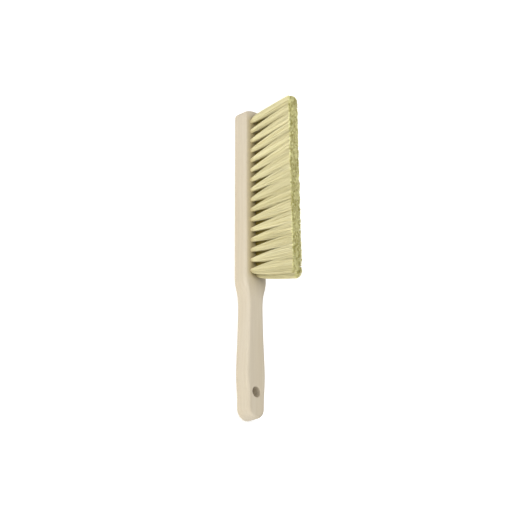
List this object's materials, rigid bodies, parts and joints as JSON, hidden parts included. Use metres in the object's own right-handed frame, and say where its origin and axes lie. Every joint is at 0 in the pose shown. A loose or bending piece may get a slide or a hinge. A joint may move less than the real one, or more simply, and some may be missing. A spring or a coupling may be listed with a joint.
{
  "type": "bee brush",
  "caption": "Long-handled hand brush with two staggered rows of soft pale bristle tufts in a flat wooden block, with a hanging hole in the grip.",
  "frame": {"origin": "centre of the block's flat back face: halfway between the heel of the grip and the tip of the head, on the centre line", "axes": "+X along the block from the heel of the grip to the tip of the head, +Z from the flat back out through the bristles, +Y across the block towards its left side when the head points away and the bristles point up"},
  "size_m": [0.37, 0.0332, 0.0889],
  "materials": {
    "wood": "bare sanded beech, fine straight grain along the block",
    "bristle": "soft pale yellow bristle, darker and stippled at the cut ends",
    "staple": "flat galvanised wire"
  },
  "bodies": {
    "root": {"handle_block": "wood", "tuft_left_01": "bristle", "tuft_left_02": "bristle", "tuft_left_03": "bristle", "tuft_left_04": "bristle", "tuft_left_05": "bristle", "tuft_left_06": "bristle", "tuft_left_07": "bristle", "tuft_left_08": "bristle", "tuft_left_09": "bristle", "tuft_left_10": "bristle", "tuft_left_11": "bristle", "tuft_left_12": "bristle", "tuft_left_13": "bristle", "tuft_left_14": "bristle", "tuft_left_15": "bristle", "tuft_left_16": "bristle", "tuft_right_01": "bristle", "tuft_right_02": "bristle", "tuft_right_03": "bristle", "tuft_right_04": "bristle", "tuft_right_05": "bristle", "tuft_right_06": "bristle", "tuft_right_07": "bristle", "tuft_right_08": "bristle", "tuft_right_09": "bristle", "tuft_right_10": "bristle", "tuft_right_11": "bristle", "tuft_right_12": "bristle", "tuft_right_13": "bristle", "tuft_right_14": "bristle", "tuft_right_15": "bristle", "tuft_right_16": "bristle", "tuft_staples": "staple"}
  },
  "joints": []
}
